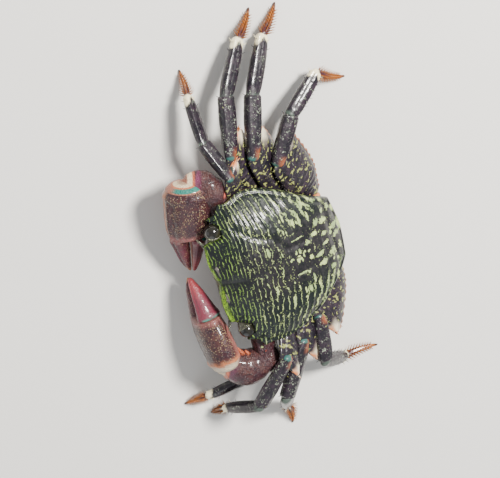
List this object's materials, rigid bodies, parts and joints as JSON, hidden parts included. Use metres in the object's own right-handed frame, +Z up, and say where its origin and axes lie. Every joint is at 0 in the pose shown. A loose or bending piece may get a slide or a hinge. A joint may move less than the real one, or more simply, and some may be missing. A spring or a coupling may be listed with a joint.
{
  "type": "shore crab model",
  "caption": "Life-size still model of a striped shore crab, low on its walking legs with both claws folded in front of its face.",
  "frame": {"origin": "on the floor, under the middle of the whole crab's plan outline, toes and claws included", "axes": "+Z up; the face looks towards -Y; the crab's own left side is towards +X"},
  "size_m": [0.11, 0.0618, 0.0213],
  "materials": {
    "shell": "wet dark green-black shell with thin pale green stripes",
    "underside": "pale grey-cream underside, darker at the sides",
    "mouthparts": "smooth wet grey plates",
    "leg": "purple-black flecked with pale green",
    "toe": "purple to orange, with bristles",
    "claw": "purple-brown, finely granular",
    "claw_finger": "crimson to rose, smooth",
    "eye": "glossy dark green-brown",
    "stalk": "mottled olive brown"
  },
  "bodies": {
    "root": {"abdomen": "underside", "antenna_left": "stalk", "antenna_right": "stalk", "carapace": "shell", "claw_left_carpus": "claw", "claw_left_finger": "claw_finger", "claw_left_merus": "claw", "claw_left_palm": "claw", "claw_right_carpus": "claw", "claw_right_finger": "claw_finger", "claw_right_merus": "claw", "claw_right_palm": "claw", "coxa_left_1": "underside", "coxa_left_2": "underside", "coxa_left_3": "underside", "coxa_left_4": "underside", "coxa_right_1": "underside", "coxa_right_2": "underside", "coxa_right_3": "underside", "coxa_right_4": "underside", "eye_left": "eye", "eye_right": "eye", "eyestalk_left": "stalk", "eyestalk_right": "stalk", "leg_left_1_carpus": "leg", "leg_left_1_dactylus": "toe", "leg_left_1_merus": "leg", "leg_left_1_propodus": "leg", "leg_left_2_carpus": "leg", "leg_left_2_dactylus": "toe", "leg_left_2_merus": "leg", "leg_left_2_propodus": "leg", "leg_left_3_carpus": "leg", "leg_left_3_dactylus": "toe", "leg_left_3_merus": "leg", "leg_left_3_propodus": "leg", "leg_left_4_carpus": "leg", "leg_left_4_dactylus": "toe", "leg_left_4_merus": "leg", "leg_left_4_propodus": "leg", "leg_right_1_carpus": "leg", "leg_right_1_dactylus": "toe", "leg_right_1_merus": "leg", "leg_right_1_propodus": "leg", "leg_right_2_carpus": "leg", "leg_right_2_dactylus": "toe", "leg_right_2_merus": "leg", "leg_right_2_propodus": "leg", "leg_right_3_carpus": "leg", "leg_right_3_dactylus": "toe", "leg_right_3_merus": "leg", "leg_right_3_propodus": "leg", "leg_right_4_carpus": "leg", "leg_right_4_dactylus": "toe", "leg_right_4_merus": "leg", "leg_right_4_propodus": "leg", "maxilliped_left": "mouthparts", "maxilliped_right": "mouthparts", "thorax": "underside"}
  },
  "joints": []
}
